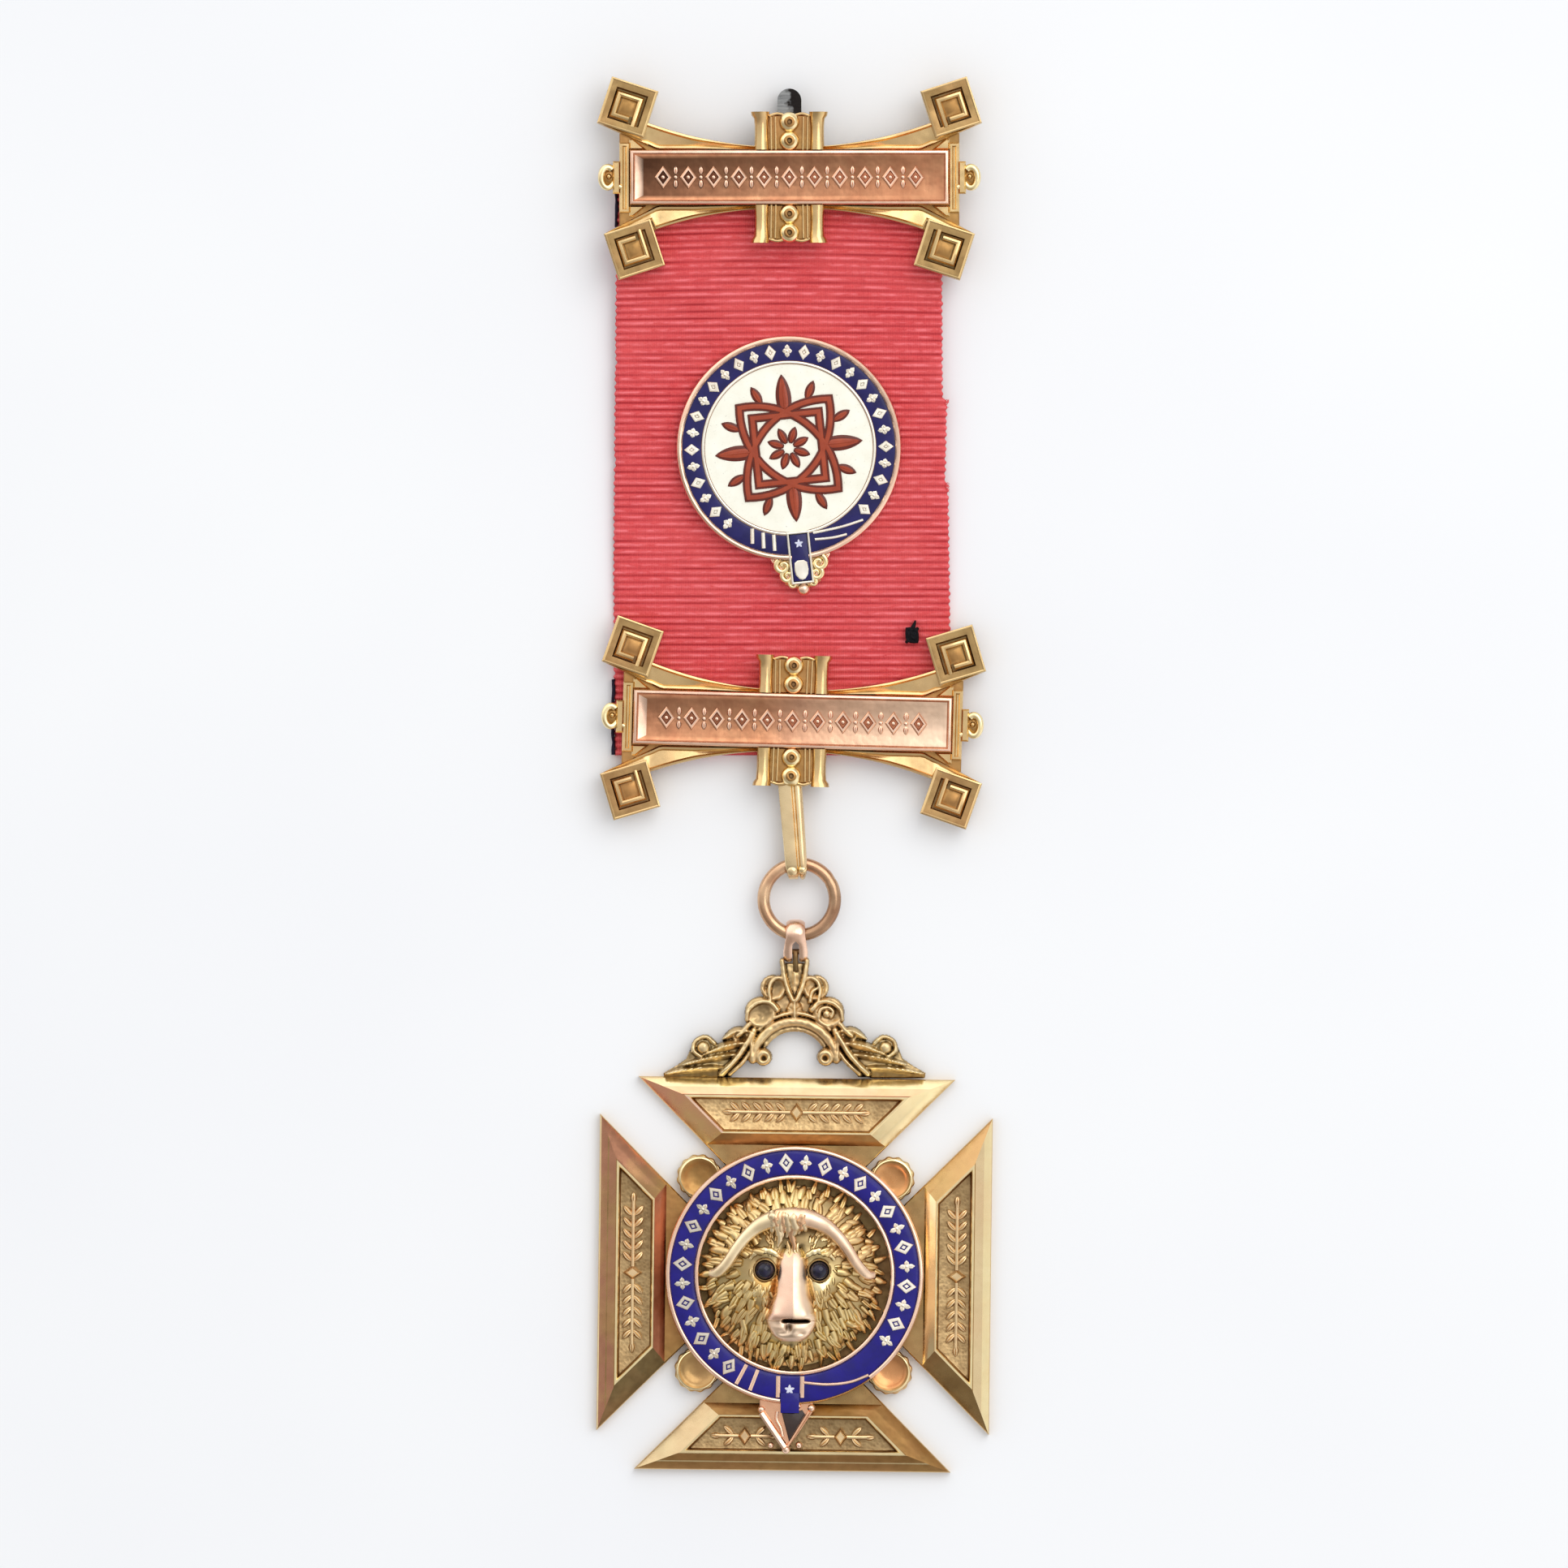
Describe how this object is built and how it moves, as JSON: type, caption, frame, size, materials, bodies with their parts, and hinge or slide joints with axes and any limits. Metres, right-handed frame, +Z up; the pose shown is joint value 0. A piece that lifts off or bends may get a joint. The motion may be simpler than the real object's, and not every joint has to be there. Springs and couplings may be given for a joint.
{
  "type": "fraternal jewel",
  "caption": "Gold breast jewel lying flat: brooch bar, coral ribbon with an enamelled badge, lower bar, jump ring, and a cross with a garter round a buffalo head",
  "frame": {"origin": "middle of the jewel's outline, on the surface that it lies on", "axes": "+X to the right of the front, +Y towards the brooch bar, +Z up out of the front"},
  "size_m": [0.038, 0.134, 0.0066],
  "materials": {
    "yellow_gold": "polished and matted yellow gold",
    "rose_gold": "polished rose gold",
    "steel": "plain dull steel",
    "ribbon": "ribbed coral silk",
    "navy_enamel": "glossy navy enamel",
    "cobalt_enamel": "glossy cobalt enamel",
    "white_enamel": "glossy cream white enamel",
    "red_enamel": "glossy brick red enamel",
    "brown_enamel": "glossy dark brown enamel",
    "eye_glass": "polished dark cabochon"
  },
  "bodies": {
    "root": {"brooch_pin": "steel", "top_bar": "yellow_gold", "top_plaque": "rose_gold", "ribbon": "ribbon", "badge_mount": "rose_gold", "badge_garter_enamel": "navy_enamel", "badge_white_enamel": "white_enamel", "badge_device": "red_enamel", "lower_bar": "yellow_gold", "lower_plaque": "rose_gold", "suspension_loop": "yellow_gold", "jump_ring": "rose_gold", "cross_bail": "rose_gold", "cresting": "yellow_gold", "cross": "yellow_gold", "garter": "rose_gold", "garter_enamel": "cobalt_enamel", "garter_tip_enamel": "brown_enamel", "buffalo_head": "yellow_gold", "horns": "rose_gold", "muzzle": "rose_gold", "left_eye": "eye_glass", "right_eye": "eye_glass"}
  },
  "joints": []
}
